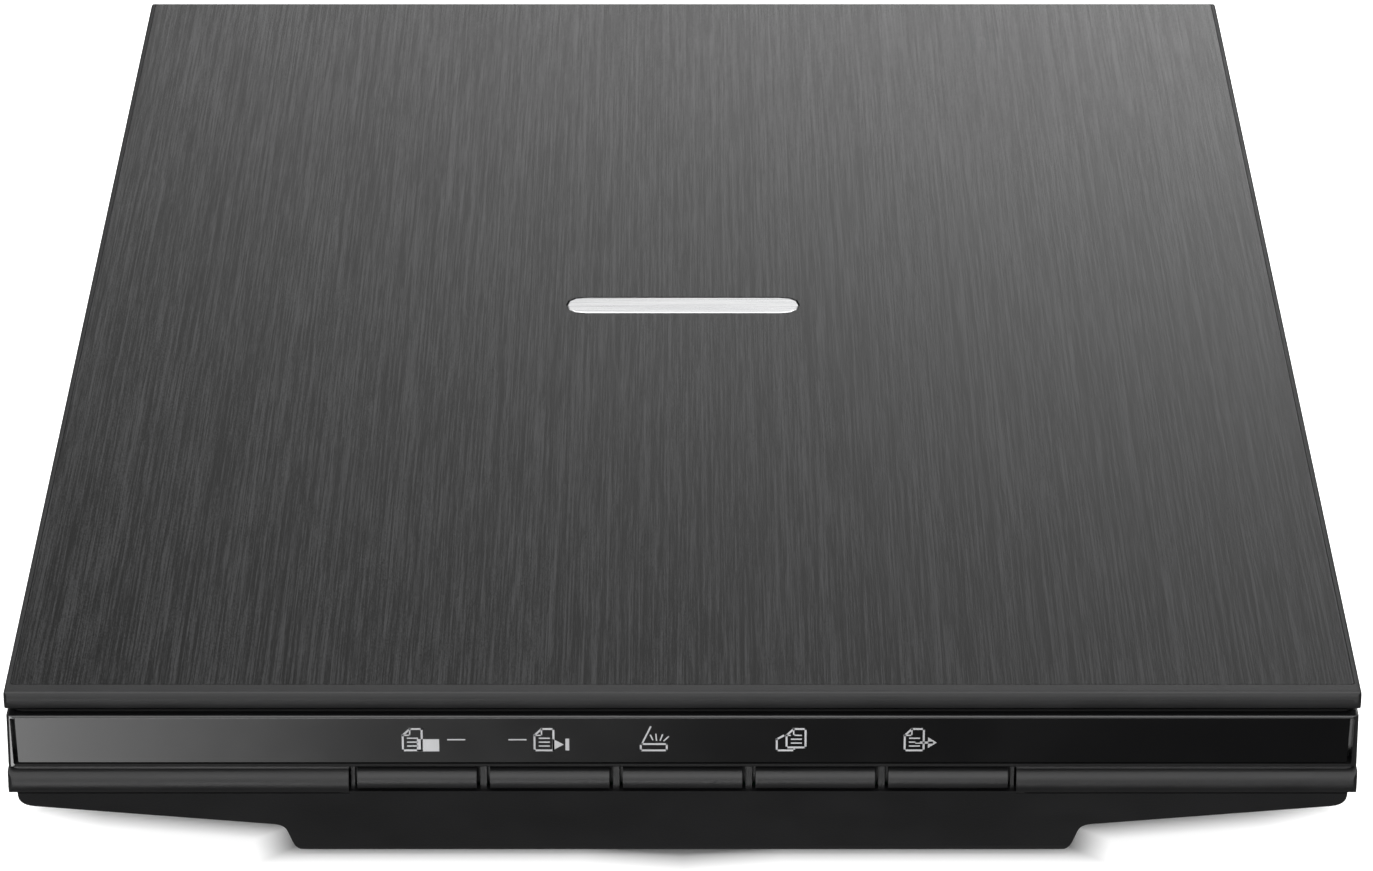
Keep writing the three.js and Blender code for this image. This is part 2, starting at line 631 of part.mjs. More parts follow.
function wheel(x, teeth, module, turn, z) {
  return prism(gearOutline([x, GEAR_Y], teeth, module, turn), 'z', z, 1);
}

function rackGear() {
  const pinion = wheel(RACK_GEAR_X, RACK_PINION_TEETH, RACK_MODULE, 0, [5, 11.5]);
  const gear = wheel(RACK_GEAR_X, RACK_GEAR_TEETH, GEAR_MODULE, gapToLeft(RACK_GEAR_TEETH), [11, 13.4]);
  return pinion.add(gear).subtract(rod('z', [RACK_GEAR_X, GEAR_Y], 1.2, [0, 20], 12));
}

function idlerGear() {
  const pinion = wheel(IDLER_X, IDLER_PINION_TEETH, GEAR_MODULE, 0, [11, 14.6]);
  const gear = wheel(IDLER_X, IDLER_GEAR_TEETH, GEAR_MODULE, gapToLeft(IDLER_GEAR_TEETH), [14.3, 16.4]);
  return pinion.add(gear).subtract(rod('z', [IDLER_X, GEAR_Y], 1.2, [0, 20], 12));
}

function motorPinion() {
  const gear = wheel(MOTOR_X, MOTOR_PINION_TEETH, GEAR_MODULE, 0, [14.3, 16.6]);
  return gear.subtract(rod('z', [MOTOR_X, GEAR_Y], 0.9, [0, 20], 12));
}

function driveMotor() {
  const can = rod('z', [MOTOR_X, GEAR_Y], 10, [4, 13.8], 28);
  const shaft = rod('z', [MOTOR_X, GEAR_Y], 0.75, [13, 16.9], 10);
  const ears = slab([MOTOR_X - 3.2, MOTOR_X + 3.2], [GEAR_Y - MOTOR_EAR - 3, GEAR_Y + MOTOR_EAR + 3], [13, 13.8], 3);
  return joined([can, shaft, ears]);
}

// The toothed bar along the tub floor; its teeth face the pinion on its left.
function driveRack() {
  const pitch = Math.PI * RACK_MODULE;
  const count = 130;
  const start = GEAR_Y - 5 * pitch;
  const back = RACK_X + 4.5;
  const points = [[back, start + count * pitch], [back, start]];
  for (let tooth = 0; tooth < count; tooth += 1) {
    const base = start + (tooth + 0.5) * pitch;
    const root = RACK_X + 1.15 * RACK_MODULE;
    const tip = RACK_X - 0.8 * RACK_MODULE;
    points.push([root, base - 0.34 * pitch], [tip, base - 0.12 * pitch]);
    points.push([tip, base + 0.12 * pitch], [root, base + 0.34 * pitch]);
  }
  return prism(outline(points.reverse()), 'z', [5, 10], 1);
}

// ---------------------------------------------------------------- carriage

// A well under the plate for the spring that lifts the sensor.
function springCup(x) {
  return rod('z', [x, HOME_Y], 5, [13, PLATE_BOTTOM + 0.5], 20);
}

function carriageFrame() {
  const plate = [PLATE_BOTTOM, PLATE_TOP];
  const beam = block(pair(100), [HOME_Y - 9.5, HOME_Y + 9.5], plate);
  const gearPlate = block([MOTOR_X - 8, SHAFT_X + 9], [HOME_Y + 9, GEAR_Y + MOTOR_EAR + 4], plate);
  const saddles = [[-3, 3], [16, 22]].map(([from, to]) => block(
    [SHAFT_X - 5.2, SHAFT_X + 5.2], [HOME_Y + from, HOME_Y + to], [SHAFT_Z + 0.5, PLATE_BOTTOM + 0.5],
  ));
  const axles = [[RACK_GEAR_X, 4.6], [IDLER_X, 10.6]].map(([x, tip]) => (
    rod('z', [x, GEAR_Y], 1, [tip, PLATE_BOTTOM + 0.5], 12)
  ));
  const motorPosts = [-MOTOR_EAR, MOTOR_EAR].map((y) => (
    rod('z', [MOTOR_X, GEAR_Y + y], 2.6, [14.1, PLATE_BOTTOM + 0.5], 12)
  ));
  const keepers = [-80, 80].flatMap((x) => [-8.7, 8.7].map((y) => (
    block([x - 5, x + 5], [HOME_Y + y - 0.8, HOME_Y + y + 0.8], [PLATE_TOP - 0.5, 27])
  )));
  const cableSocket = block([23, 37], [HOME_Y + 2.5, HOME_Y + 7], [14.6, PLATE_BOTTOM + 0.5]);
  const pieces = [beam, gearPlate, ...saddles, ...axles, ...motorPosts, ...keepers, cableSocket];
  let frame = joined([...pieces, springCup(-SPRING_X), springCup(SPRING_X)]);
  for (const x of [-SPRING_X, SPRING_X]) frame = frame.subtract(rod('z', [x, HOME_Y], 4, [14, 30], 20));
  return frame.subtract(rod('y', [SHAFT_X, SHAFT_Z], 4.2, [HOME_Y - 20, HOME_Y + 40], 20));
}

function shaftBush([from, to]) {
  const bush = rod('y', [SHAFT_X, SHAFT_Z], 4, [HOME_Y + from, HOME_Y + to], 20);
  return bush.subtract(rod('y', [SHAFT_X, SHAFT_Z], SHAFT_RADIUS + 0.15, [HOME_Y - 20, HOME_Y + 40], 20));
}

// A strip of the sensor module, placed about the carriage's line.
const strip = (half, [y0, y1], z) => block(pair(half), [HOME_Y + y0, HOME_Y + y1], z);

function cisHousing() {
  const cavity = strip(110, [-5, 3.6], [22, 40]);
  const coverSeat = strip(110, [-5.6, 5.6], [30.2, 40]);
  return strip(112, [-7.5, 7.5], [20, 31.2]).subtract(cavity).subtract(coverSeat);
}

const sensorBoard = () => strip(109, [-4.7, 3.3], [22.3, 23.5]);
const rodLensArray = () => strip(108, [-0.4, 1.6], [24.2, 29.4]);
const lightGuide = () => prism(outline([
  [HOME_Y - 4.6, 25.4], [HOME_Y - 2.6, 25.4], [HOME_Y - 1.6, 28.6, 0.5], [HOME_Y - 3.6, 29.4, 0.5],
]), 'x', pair(108));
const cisCoverGlass = () => strip(109.6, [-5.3, 5.3], [30.5, 31]);

// A low-friction pad clipped on each end of the module runs on the underside of the glass.
function slider(side) {
  const clip = [side * 112.3, side * 116.3].sort((a, b) => a - b);
  const pad = [side * 110.4, side * 116.3].sort((a, b) => a - b);
  const y = [HOME_Y - 5, HOME_Y + 5];
  return block(clip, y, [24, 32]).add(prism(rectangle(y, [31.5, 32.4], 0.4), 'x', pad));
}

// A coil spring in its cup, pushing the sensor up against the glass.
class Coil extends THREE.Curve {
  constructor(centre, radius, turns, [bottom, top]) {
    super();
    Object.assign(this, { centre, radius, turns, bottom, top });
  }

  getPoint(t) {
    const angle = 2 * Math.PI * this.turns * t;
    return new THREE.Vector3(
      this.centre[0] + this.radius * Math.cos(angle),
      this.centre[1] + this.radius * Math.sin(angle),
      this.bottom + (this.top - this.bottom) * t,
    );
  }
}

function liftSpring(x) {
  const wire = circle([0, 0], 0.35, 5);
  const path = new Coil([x, HOME_Y], 2.8, 4, [14.6, 19.4]);
  return solid(new THREE.ExtrudeGeometry(wire, { steps: 44, extrudePath: path, curveSegments: 1 }));
}

// The flat cable lies on the tub floor, then turns up under the carriage.
function flatCable() {
  const route = new THREE.CatmullRomCurve3([
    [149.6, 8.6], [144, 8], [139, 5.4], [132, 4.3], [0, 4.3], [-140, 4.3], [-152, 4.8], [-158.6, 7.2], [-159.6, 10.6],
    [-158.8, 14.2],
  ].map(([y, z]) => new THREE.Vector3(y, z, 0)), false, 'centripetal');
  const centre = route.getPoints(36);
  const thickness = 0.15;
  const sideOf = (sign) => centre.map((point, i) => {
    const tangent = route.getTangent(i / (centre.length - 1));
    return [point.x - sign * thickness * tangent.y, point.y + sign * thickness * tangent.x];
  });
  return prism(outline([...sideOf(1), ...sideOf(-1).reverse()]), 'x', [24, 36], 1);
}

// ---------------------------------------------------------------- assembly

place('lid_top_cover', lidTopCover(), 'black_shell');
place('lid_skin', lidSkin(), 'brushed_lid');
place('lid_inner_frame', lidInnerFrame(), 'black_shell');
place('pad_foam', padFoam(), 'foam');
place('backing_sheet', backingSheet(), 'lid_white');
place('lid_badge', lidBadge(), 'badge_silver');
for (const [name, side] of SIDES) {
  place(`hinge_pin_${name}`, hingePin(side), 'steel');
  place(`hinge_post_${name}`, hingePost(side), 'black_shell');
}

place('lower_housing', lowerHousing(), 'black_shell');
place('upper_housing', upperHousing(), 'black_shell');
place('platen_glass', platenGlass(), 'glass');
place('glass_tape', glassTape(), 'black_part');
place('calibration_strip', calibrationStrip(), 'white_strip');
place('front_panel', frontPanel(), 'gloss_panel');
place('button_board', buttonBoard(), 'board_green');
for (const number of BUTTONS) {
  const x = (number - 3) * BUTTON_PITCH;
  place(`button_${number}`, button(x), 'button_black');
  place(`tact_switch_${number}`, tactSwitch(x), 'black_part');
}
FEET.forEach((spot, i) => place(`foot_${i + 1}`, foot(spot), 'rubber'));
SCREWS.forEach((spot, i) => place(`case_screw_${i + 1}`, caseScrew(spot), 'steel'));
place('rating_label', ratingLabel(), 'white_strip');

place('guide_shaft', guideShaft(), 'steel');
place('shaft_clip_front', shaftClip([-170.6, -168.2]), 'steel');
place('shaft_clip_rear', shaftClip([170.6, 174.6]), 'steel');
place('drive_rack', driveRack(), 'gear_white');
place('main_board', mainBoard(), 'board_green');
place('usb_port', usbPort(), 'steel');
place('flat_cable', flatCable(), 'ribbon');

place('carriage_frame', carriageFrame(), 'black_part');
place('shaft_bush_front', shaftBush([-3, 3]), 'bronze');
place('shaft_bush_rear', shaftBush([16, 22]), 'bronze');
place('cis_housing', cisHousing(), 'black_part');
place('sensor_board', sensorBoard(), 'board_green');
place('rod_lens_array', rodLensArray(), 'black_part');
place('light_guide', lightGuide(), 'glass');
place('cis_cover_glass', cisCoverGlass(), 'glass');
for (const [name, side] of SIDES) {
  place(`slider_${name}`, slider(side), 'gear_white');
  place(`lift_spring_${name}`, liftSpring(side * SPRING_X), 'steel');
}
place('drive_motor', driveMotor(), 'steel');
place('motor_pinion', motorPinion(), 'bronze');
place('idler_gear', idlerGear(), 'gear_white');
place('rack_gear', rackGear(), 'gear_white');

export default scanner;
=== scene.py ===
"""The looks of an A4 flatbed scanner: camera, studio, materials and the fine pieces on its CAD frame."""
import json
import math
import bmesh
import bpy
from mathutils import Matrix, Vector


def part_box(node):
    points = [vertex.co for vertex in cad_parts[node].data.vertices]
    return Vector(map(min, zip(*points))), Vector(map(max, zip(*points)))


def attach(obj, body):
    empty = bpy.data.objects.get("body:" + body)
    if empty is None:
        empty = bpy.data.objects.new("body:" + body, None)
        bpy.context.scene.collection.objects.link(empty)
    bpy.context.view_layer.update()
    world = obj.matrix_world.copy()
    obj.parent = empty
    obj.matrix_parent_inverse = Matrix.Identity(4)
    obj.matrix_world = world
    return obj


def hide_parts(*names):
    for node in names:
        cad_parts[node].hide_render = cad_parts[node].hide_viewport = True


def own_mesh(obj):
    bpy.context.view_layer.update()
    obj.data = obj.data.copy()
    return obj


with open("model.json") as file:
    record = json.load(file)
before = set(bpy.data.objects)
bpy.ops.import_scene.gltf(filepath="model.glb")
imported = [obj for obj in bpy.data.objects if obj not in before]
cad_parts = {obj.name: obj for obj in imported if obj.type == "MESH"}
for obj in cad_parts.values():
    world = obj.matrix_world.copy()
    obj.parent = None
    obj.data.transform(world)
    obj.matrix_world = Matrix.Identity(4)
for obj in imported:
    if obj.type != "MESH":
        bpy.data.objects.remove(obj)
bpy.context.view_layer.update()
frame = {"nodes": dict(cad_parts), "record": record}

MM = 0.001
NODES = frame["nodes"]

# ---------------------------------------------------------------- meshes

SAME_POINT = 1e-7


def link(obj):
    bpy.context.scene.collection.objects.link(obj)
    return obj


def mesh_object(name, vertices, faces):
    """A smooth-shaded mesh object from lists of points and faces, in metres."""
    mesh = bpy.data.meshes.new(name)
    mesh.from_pydata([tuple(v) for v in vertices], [], faces)
    bm = bmesh.new()
    bm.from_mesh(mesh)
    bmesh.ops.remove_doubles(bm, verts=bm.verts, dist=SAME_POINT)
    bmesh.ops.recalc_face_normals(bm, faces=bm.faces)
    bm.to_mesh(mesh)
    bm.free()
    mesh.shade_smooth()
    return link(bpy.data.objects.new(name, mesh))


WELD_DISTANCE = 0.002 * MM
FLAT_ANGLE = math.radians(0.4)
EDGE_ANGLE = math.radians(28)
EDGE_SEGMENTS = 2
LARGE_FACE_WEIGHT = 80


def soften(obj, width):
    """Joins the CAD facets, rounds the crisp edges and shades the rest smooth, as on a moulded piece."""
    join = obj.modifiers.new("join", "WELD")
    join.merge_threshold = WELD_DISTANCE
    flat = obj.modifiers.new("flat", "DECIMATE")
    flat.decimate_type = "DISSOLVE"
    flat.angle_limit = FLAT_ANGLE
    obj.data.shade_smooth()
    if width:
        edge = obj.modifiers.new("edge", "BEVEL")
        edge.width = width
        edge.segments = EDGE_SEGMENTS
        edge.limit_method = "ANGLE"
        edge.angle_limit = EDGE_ANGLE
        edge.harden_normals = True
    normals = obj.modifiers.new("normals", "WEIGHTED_NORMAL")
    normals.keep_sharp = True
    normals.weight = LARGE_FACE_WEIGHT


# ---------------------------------------------------------------- shader nodes


class Nodes:
    """A node tree, with short ways to add to it."""

    def __init__(self, tree):
        self.tree = tree

    def node(self, kind, **settings):
        made = self.tree.nodes.new(kind)
        for key, value in settings.items():
            setattr(made, key, value)
        return made

    def wire(self, source, target):
        self.tree.links.new(source, target)

    def maths(self, operation, *values):
        """A Math node's result; its inputs are plain numbers or other nodes' outputs."""
        made = self.node("ShaderNodeMath", operation=operation)
        for socket, value in zip(made.inputs, values):
            if isinstance(value, (int, float)):
                socket.default_value = value
            else:
                self.wire(value, socket)
        return made.outputs["Value"]

    def product(self, *factors):
        whole = factors[0]
        for factor in factors[1:]:
            whole = self.maths("MULTIPLY", whole, factor)
        return whole

    def total(self, *terms):
        whole = terms[0]
        for term in terms[1:]:
            whole = self.maths("ADD", whole, term)
        return whole

    def spread(self, value, start, end, low=0.0, high=1.0, **settings):
        """Maps start..end onto low..high and holds the end values beyond it; start may be the higher."""
        made = self.node("ShaderNodeMapRange", **settings)
        for key, number in (("From Min", start), ("From Max", end), ("To Min", low), ("To Max", high)):
            made.inputs[key].default_value = number
        self.wire(value, made.inputs["Value"])
        return made.outputs["Result"]


# ---------------------------------------------------------------- materials

# The middle range of a noise, which holds most of its values.
NOISE_START = 0.35
NOISE_END = 0.65


class Look(Nodes):
    """A node material with a Principled shader, and short ways to add detail to it."""

    def __init__(self, name, colour, roughness, **sockets):
        self.material = bpy.data.materials.new(name)
        self.material.use_nodes = True
        super().__init__(self.material.node_tree)
        self.shader = self.tree.nodes["Principled BSDF"]
        self.set("Base Color", (*colour, 1))
        self.set("Roughness", roughness)
        for socket, value in sockets.items():
            self.set(socket.replace("_", " "), value)
        self.place = self.node("ShaderNodeTexCoord").outputs["Object"]

    def set(self, socket, value):
        self.shader.inputs[socket].default_value = value

    def noise(self, scale, stretch=(1, 1, 1), detail=4, roughness=0.55):
        """Noise over the piece; scale times stretch is how fast it varies along x, y and z, per metre."""
        mapping = self.node("ShaderNodeMapping")
        mapping.inputs["Scale"].default_value = stretch
        self.wire(self.place, mapping.inputs["Vector"])
        noise = self.node("ShaderNodeTexNoise")
        noise.inputs["Scale"].default_value = scale
        noise.inputs["Detail"].default_value = detail
        noise.inputs["Roughness"].default_value = roughness
        self.wire(mapping.outputs["Vector"], noise.inputs["Vector"])
        return noise.outputs["Fac"]

    def tint(self, factor, first, second, start=NOISE_START, end=NOISE_END):
        """Colours the surface between two colours by a noise."""
        ramp = self.node("ShaderNodeValToRGB")
        for stop, position, colour in zip(ramp.color_ramp.elements, (start, end), (first, second)):
            stop.position = position
            stop.color = (*colour, 1)
        self.wire(factor, ramp.inputs["Fac"])
        self.wire(ramp.outputs["Color"], self.shader.inputs["Base Color"])

    def rough(self, factor, low, high, start=NOISE_START, end=NOISE_END):
        """Varies the roughness between two values by a noise."""
        self.wire(self.spread(factor, start, end, low, high), self.shader.inputs["Roughness"])

    def bump(self, height, strength, distance):
        """Tilts the surface by a height; distance is the height's whole range, in metres."""
        made = self.node("ShaderNodeBump")
        made.inputs["Strength"].default_value = strength
        made.inputs["Distance"].default_value = distance
        self.wire(height, made.inputs["Height"])
        self.wire(made.outputs["Normal"], self.shader.inputs["Normal"])


def shade(colour, factor):
    return tuple(min(1, c * factor) for c in colour)


# How fast the lid's grain varies along x, y and z, per metre: fast across it and slowly along it.
HAIR_RATE = (4000, 50, 60)
STREAK_RATE = (2100, 9, 40)
SPECK_RATE = 2600
SPECK_STRETCH = (1, 0.5, 1)

# What each of the three adds to the grain, and the colours between which the grain shows.
HAIR_SHARE = 0.45
STREAK_SHARE = 0.35
SPECK_SHARE = 0.2
LID_DARK = (0.0, 0.0, 0.0)
LID_LIGHT = (0.038, 0.0382, 0.039)


def brushed_lid():
    """Satin black with fine wood-like hairlines that run from the front to the back."""
    look = Look("brushed_lid", (0.012, 0.012, 0.0125), 0.16)
    hairs = look.noise(1, HAIR_RATE, detail=3, roughness=0.75)
    streaks = look.noise(1, STREAK_RATE, detail=3, roughness=0.8)
    specks = look.noise(SPECK_RATE, SPECK_STRETCH, detail=2, roughness=0.7)
    grain = look.total(
        look.product(hairs, HAIR_SHARE),
        look.product(streaks, STREAK_SHARE),
        look.product(specks, SPECK_SHARE),
    )
    look.tint(grain, LID_DARK, LID_LIGHT, start=0.46, end=0.58)
    look.rough(grain, 0.21, 0.12, start=0.44, end=0.6)
    look.bump(grain, strength=0.85, distance=0.02 * MM)
    return look.material


# How fast the wear on moulded plastic varies, per metre, and the depth of its texture.
WEAR_RATE = 60
TEXTURE_DEPTH = 0.05 * MM


def moulded(name, colour, roughness, grain, strength, shine, wear):
    """Moulded plastic with a fine spark-eroded texture and a faint cloudy wear."""
    look = Look(name, colour, roughness, Specular_IOR_Level=shine)
    cloud = look.noise(WEAR_RATE, detail=3)
    look.tint(cloud, shade(colour, 1 - wear), shade(colour, 1 + wear))
    look.rough(cloud, roughness * (1 - wear), roughness * (1 + wear))
    look.bump(look.noise(grain, roughness=0.7), strength, TEXTURE_DEPTH)
    return look.material


def gloss_panel():
    """Piano black, nearly a mirror."""
    look = Look("gloss_panel", (0.002, 0.002, 0.0022), 0.1)
    look.rough(look.noise(40, detail=5), 0.08, 0.13)
    look.bump(look.noise(500, detail=2), strength=0.02, distance=0.01 * MM)
    return look.material


def brushed_metal(name, colour, roughness, rate, metallic):
    """Metal, or a metallic print, with a fine grain in one direction."""
    look = Look(name, colour, roughness, Metallic=metallic)
    hairs = look.noise(1, rate)
    look.tint(hairs, shade(colour, 0.85), shade(colour, 1.12))
    look.rough(hairs, roughness - 0.06, roughness + 0.1)
    look.bump(hairs, strength=0.15, distance=0.01 * MM)
    return look.material


def clear_glass():
    look = Look("clear_glass", (0.93, 0.97, 0.96), 0.02, Transmission_Weight=1.0, IOR=1.5)
    look.rough(look.noise(30), 0.012, 0.03)
    return look.material


def circuit_board():
    """Green solder mask, a little lighter where it lies over copper."""
    look = Look("circuit_board", (0.01, 0.1, 0.035), 0.4)
    copper = look.noise(900, detail=1, roughness=0.3)
    look.tint(copper, (0.006, 0.075, 0.026), (0.02, 0.16, 0.06), start=0.48, end=0.52)
    look.bump(copper, strength=0.2, distance=0.03 * MM)
    return look.material


def foam_material():
    """Fine closed cells, with painted shade that darkens their hollows."""
    look = Look("foam", (0.72, 0.72, 0.69), 0.95)
    cells = look.noise(4500, detail=3, roughness=0.7)
    # The colour follows the bump's noise: painted shade, darker where the cells are deep.
    look.tint(cells, (0.55, 0.55, 0.52), (0.8, 0.8, 0.77))
    look.bump(cells, strength=0.6, distance=0.08 * MM)
    return look.material


# Moulded finishes: colour, roughness, rate of the texture per metre, its strength, shine and wear.
MOULDED = {
    "lid_shell": ((0.013, 0.013, 0.0135), 0.44, 1900, 0.9, 0.34, 0.12),
    "black_shell": ((0.0055, 0.0055, 0.0059), 0.42, 1900, 0.9, 0.48, 0.12),
    "bezel_black": ((0.009, 0.009, 0.0095), 0.24, 5200, 0.06, 0.9, 0.05),
    "bezel_satin": ((0.005, 0.005, 0.0052), 0.55, 2500, 0.3, 0.2, 0.12),
    # A far darker copy of black_part for the lid's inner frame: painted shade in the recess under the lid.
    "frame_black_painted_shade": ((0.004, 0.004, 0.0042), 0.6, 2500, 0.3, 0.1, 0.12),
    "black_part": ((0.014, 0.014, 0.015), 0.5, 2500, 0.3, 0.2, 0.12),
    "button_black": ((0.0075, 0.0075, 0.008), 0.42, 2400, 0.6, 0.55, 0.12),
    "lid_white": ((0.6, 0.6, 0.59), 0.6, 6000, 0.1, 0.5, 0.01),
    "white_strip": ((0.75, 0.75, 0.74), 0.6, 8000, 0.08, 0.5, 0.01),
    "gear_white": ((0.7, 0.68, 0.61), 0.42, 5000, 0.1, 0.5, 0.03),
    "ribbon": ((0.66, 0.65, 0.61), 0.4, 5000, 0.1, 0.5, 0.03),
    "print_grey": ((0.42, 0.42, 0.43), 0.5, 4000, 0.05, 0.2, 0.12),
    "label_grey": ((0.5, 0.5, 0.51), 0.4, 7000, 0.08, 0.5, 0.12),
    "rubber": ((0.02, 0.02, 0.021), 0.8, 3500, 0.5, 0.5, 0.12),
}

# Brushed finishes: colour, roughness, rate of the grain along x, y and z per metre, and how metallic.
BRUSHED = {
    "badge_silver": ((0.9, 0.91, 0.93), 0.3, (40, 6000, 60), 0.75),
    "steel": ((0.5, 0.51, 0.53), 0.3, (4000, 60, 4000), 1.0),
    "bronze": ((0.5, 0.3, 0.12), 0.4, (3000, 3000, 3000), 1.0),
}

MATERIALS = {
    **{name: moulded(name, *values) for name, values in MOULDED.items()},
    **{name: brushed_metal(name, *values) for name, values in BRUSHED.items()},
    "brushed_lid": brushed_lid(),
    "gloss_panel": gloss_panel(),
    "glass": clear_glass(),
    "clear_guide": clear_glass(),
    "board_green": circuit_board(),
    "foam": foam_material(),
}

# ---------------------------------------------------------------- the CAD pieces' finish

# The lid's inner frame sits in the recess under the lid. It gets a much deeper black as painted shade, so
# that it shows as the dark line there.
OWN_FINISH = {"lid_inner_frame": "frame_black_painted_shade"}

# How far a piece's edges are rounded. Cut, ground, toothed and very thin pieces stay crisp.
EDGE = 0.12 * MM
OWN_EDGE = {
    "gloss_panel": 0.05 * MM,
    "glass": 0,
    "clear_guide": 0,
    "gear_white": 0,
    "ribbon": 0,
    "brushed_lid": 0,
}

# The bezel is satin up to a little above the foot of the gloss panel.
SATIN_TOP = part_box("front_panel")[0][2] + 0.2 * MM


def satin_below(node, height):
    """The rim under the gloss panel is left satin; the rest of the bezel is polished."""
    node.data.materials.append(MATERIALS["bezel_satin"])
    for face in node.data.polygons:
        if face.center.z < height:
            face.material_index = 1


def dress_frame():
    """Gives every CAD node its slot's finish, and its edges the small rounding of a real moulding."""
    for part in frame["record"]["subparts"]:
        name, slot = part["node"], part["material_slot"]
        node = NODES[name]
        node.data.materials.clear()
        node.data.materials.append(MATERIALS[OWN_FINISH.get(name, slot)])
        soften(node, OWN_EDGE.get(slot, EDGE))
    satin_below(NODES["upper_housing"], SATIN_TOP)


# ---------------------------------------------------------------- printed marks on the front panel

# The panel's front face, the ink's thickness, and the height at which the pictures stand.
PANEL_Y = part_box("front_panel")[0][1]
INK = 0.03 * MM
MARK_LOW = 29.8 * MM

# In millimetres: line widths, a picture's height, and the page that four of the pictures share.
LINE = 0.36
THIN = 0.25
MARK_HEIGHT = 4.4
MARK_MIDDLE = MARK_HEIGHT / 2
PAGE_WIDTH = 3.5
PAGE_FOLD = 1.3
PAGE_RULES = (0.9, 1.7, 2.5)


class Marks:
    """Thin raised ink on the panel, drawn in millimetres from each picture's lower left corner."""

    def __init__(self):
        self.vertices = []
        self.faces = []
        self.left = 0.0

    def fill(self, *points):
        """A flat patch of ink with a little thickness."""
        start, count = len(self.vertices), len(points)
        for y in (PANEL_Y, PANEL_Y - INK):
            self.vertices += [((self.left + x) * MM, y, MARK_LOW + z * MM) for x, z in points]
        back = list(range(start, start + count))
        front = list(range(start + count, start + 2 * count))
        self.faces += [front[::-1], back]
        for i in range(count):
            j = (i + 1) % count
            self.faces.append((back[i], back[j], front[j], front[i]))

    def block(self, x0, z0, x1, z1):
        self.fill((x0, z0), (x1, z0), (x1, z1), (x0, z1))

    def line(self, *points, width=LINE):
        """A stroke through points, each stretch run on a little so that the corners fill."""
        for first, second in zip(points, points[1:]):
            a, b = Vector(first), Vector(second)
            along = (b - a).normalized() * width / 2
            side = Vector((-along.y, along.x))
            a, b = a - along, b + along
            self.fill(a - side, b - side, b + side, a + side)

    def page(self, x=0.0, low=0.0):
        """A sheet with a turned corner and a few ruled lines."""
        right, top, fold = x + PAGE_WIDTH, MARK_HEIGHT, PAGE_FOLD
        self.line((x, low), (x, top - fold), (x + fold, top), (right, top), (right, low), (x, low))
        self.line((x, top - fold), (x + fold, top - fold), (x + fold, top), width=THIN)
        for rule in PAGE_RULES:
            self.line((x + 0.9, low + rule), (right - 0.8, low + rule), width=THIN)


def page_and_block(marks):
    """A page with a filled block at its foot, and a dash towards the next picture."""
    marks.page()
    marks.block(2.6, -0.2, 6.7, 2.3)
    marks.line((8.3, MARK_MIDDLE), (11.4, MARK_MIDDLE), width=THIN)


def page_and_step(marks):
    """A page with an arrowhead against a bar, and a dash towards the picture before."""
    marks.line((-4.7, MARK_MIDDLE), (-1.6, MARK_MIDDLE), width=THIN)
    marks.page()
    marks.fill((3.3, 0), (5.4, 1.2), (3.3, 2.4))
    marks.block(5.7, 0, 6.4, 2.4)


def open_scanner(marks):
    """A scanner seen from its end with the lid up, and light over its glass."""
    glass = 1.3
    marks.line((0, 0), (4.8, 0), (4.8, glass), (0, glass), (0, 0))
    marks.line((0.2, glass), (1.8, 4.8), width=0.3)
    marks.line((2.2, 2.2), (1.8, 3.1), width=THIN)
    marks.line((2.9, 2.1), (2.8, 3.3), width=THIN)
    marks.line((3.6, 2.1), (4.0, 3.2), width=THIN)
    marks.line((4.3, 2.0), (5.1, 2.8), width=THIN)


def two_pages(marks):
    """A page in front of the corner of another."""
    marks.page(x=1.8, low=0.6)
    marks.line((1.2, 3.0), (0, 2.3), (0, 0), (3.2, 0), (3.2, 0.3))


def page_and_arrow(marks):
    """A page with an arrow that leaves it to the right."""
    marks.page()
    marks.line((2.2, 1.6), (5.0, 1.6), width=0.45)
    marks.fill((4.3, 0.5), (5.9, 1.6), (4.3, 2.7))


# The left edge of each picture, in millimetres from the middle of the scanner.
PICTURES = {
    -51.6: page_and_block,
    -27.3: page_and_step,
    -7.7: open_scanner,
    17.4: two_pages,
    41.0: page_and_arrow,
}


def panel_marks():
    """A plain picture over each button, with no words."""
    marks = Marks()
    for left, draw in PICTURES.items():
        marks.left = left
        draw(marks)
    ink = mesh_object("panel_marks", marks.vertices, marks.faces)
    ink.data.shade_flat()
    ink.data.materials.append(MATERIALS["print_grey"])
    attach(ink, "base")


# ---------------------------------------------------------------- soft pieces

FOAM_CORNER = 2 * MM
FOAM_DRAWN_IN = 0.6 * MM
CORNER_STEPS = 10

# The pad's cut edge from its lower to its upper face: the height as a share of half the thickness,
# and how far out the edge stands there, from 0 (drawn in fully) to 1 (not at all).
FOAM_EDGE = [(-1, 0.0), (-1, 0.5), (-0.8, 0.85), (0, 1.0), (0.8, 0.85), (1, 0.5), (1, 0.0)]


def rounded_ring(half_x, half_y, radius):
    """The plan outline of a rectangle with rounded corners, about its middle."""
    ring = []
    for quarter, (side_x, side_y) in enumerate(((1, 1), (-1, 1), (-1, -1), (1, -1))):
        for step in range(CORNER_STEPS):
            angle = math.pi / 2 * (quarter + step / (CORNER_STEPS - 1))
            x = side_x * (half_x - radius) + radius * math.cos(angle)
            y = side_y * (half_y - radius) + radius * math.sin(angle)
            ring.append((x, y))
    return ring


